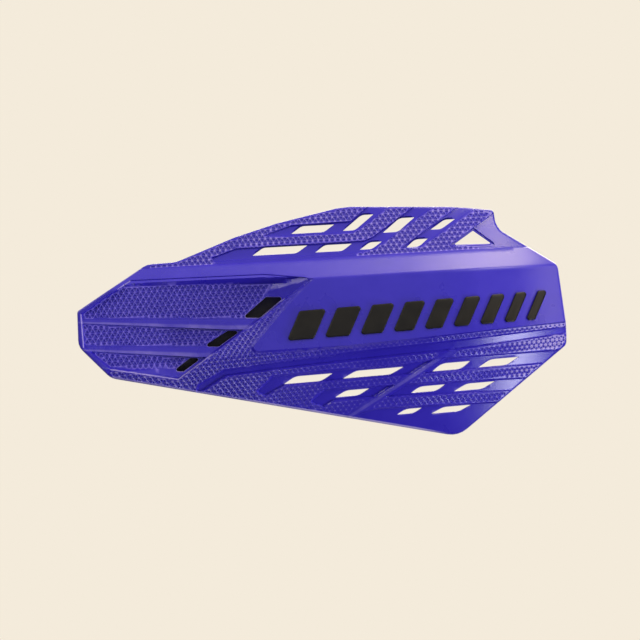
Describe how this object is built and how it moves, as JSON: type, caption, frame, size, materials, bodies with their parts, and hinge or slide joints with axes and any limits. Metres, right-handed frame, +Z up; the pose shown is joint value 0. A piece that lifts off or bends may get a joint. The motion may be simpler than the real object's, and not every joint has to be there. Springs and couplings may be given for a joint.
{
  "type": "motorcycle hand guard",
  "caption": "Left-hand motorcycle hand guard: a swept, vented moulded shield with knurled pads, held ahead of the grip by an arm that clamps round the handlebar.",
  "frame": {"origin": "centre of the bar clamp's bore", "axes": "+X along the handlebar, outboard; the shield faces -Y; +Z up"},
  "size_m": [0.2693, 0.105, 0.1248],
  "materials": {
    "shield_blue": "moulded polypropylene, satin, knurled pads between smooth channels",
    "inlay_black": "soft black inlay with rounded edges",
    "bracket_black": "glass-filled nylon, fine moulded grain",
    "sleeve_rubber": "dull black rubber",
    "zinc_steel": "bright zinc plate",
    "insert_brass": "turned brass"
  },
  "bodies": {
    "root": {"shield": "shield_blue", "arm": "bracket_black", "clamp_cap": "bracket_black", "bar_sleeve": "sleeve_rubber", "inlay_bar_1": "inlay_black", "inlay_bar_2": "inlay_black", "inlay_bar_3": "inlay_black", "inlay_bar_4": "inlay_black", "inlay_bar_5": "inlay_black", "inlay_bar_6": "inlay_black", "inlay_bar_7": "inlay_black", "inlay_bar_8": "inlay_black", "inlay_bar_9": "inlay_black", "clamp_screw_upper": "zinc_steel", "clamp_nut_upper": "zinc_steel", "clamp_screw_lower": "zinc_steel", "clamp_nut_lower": "zinc_steel", "shield_screw_1": "zinc_steel", "shield_insert_1": "insert_brass", "shield_screw_2": "zinc_steel", "shield_insert_2": "insert_brass", "shield_screw_3": "zinc_steel", "shield_insert_3": "insert_brass"}
  },
  "joints": []
}
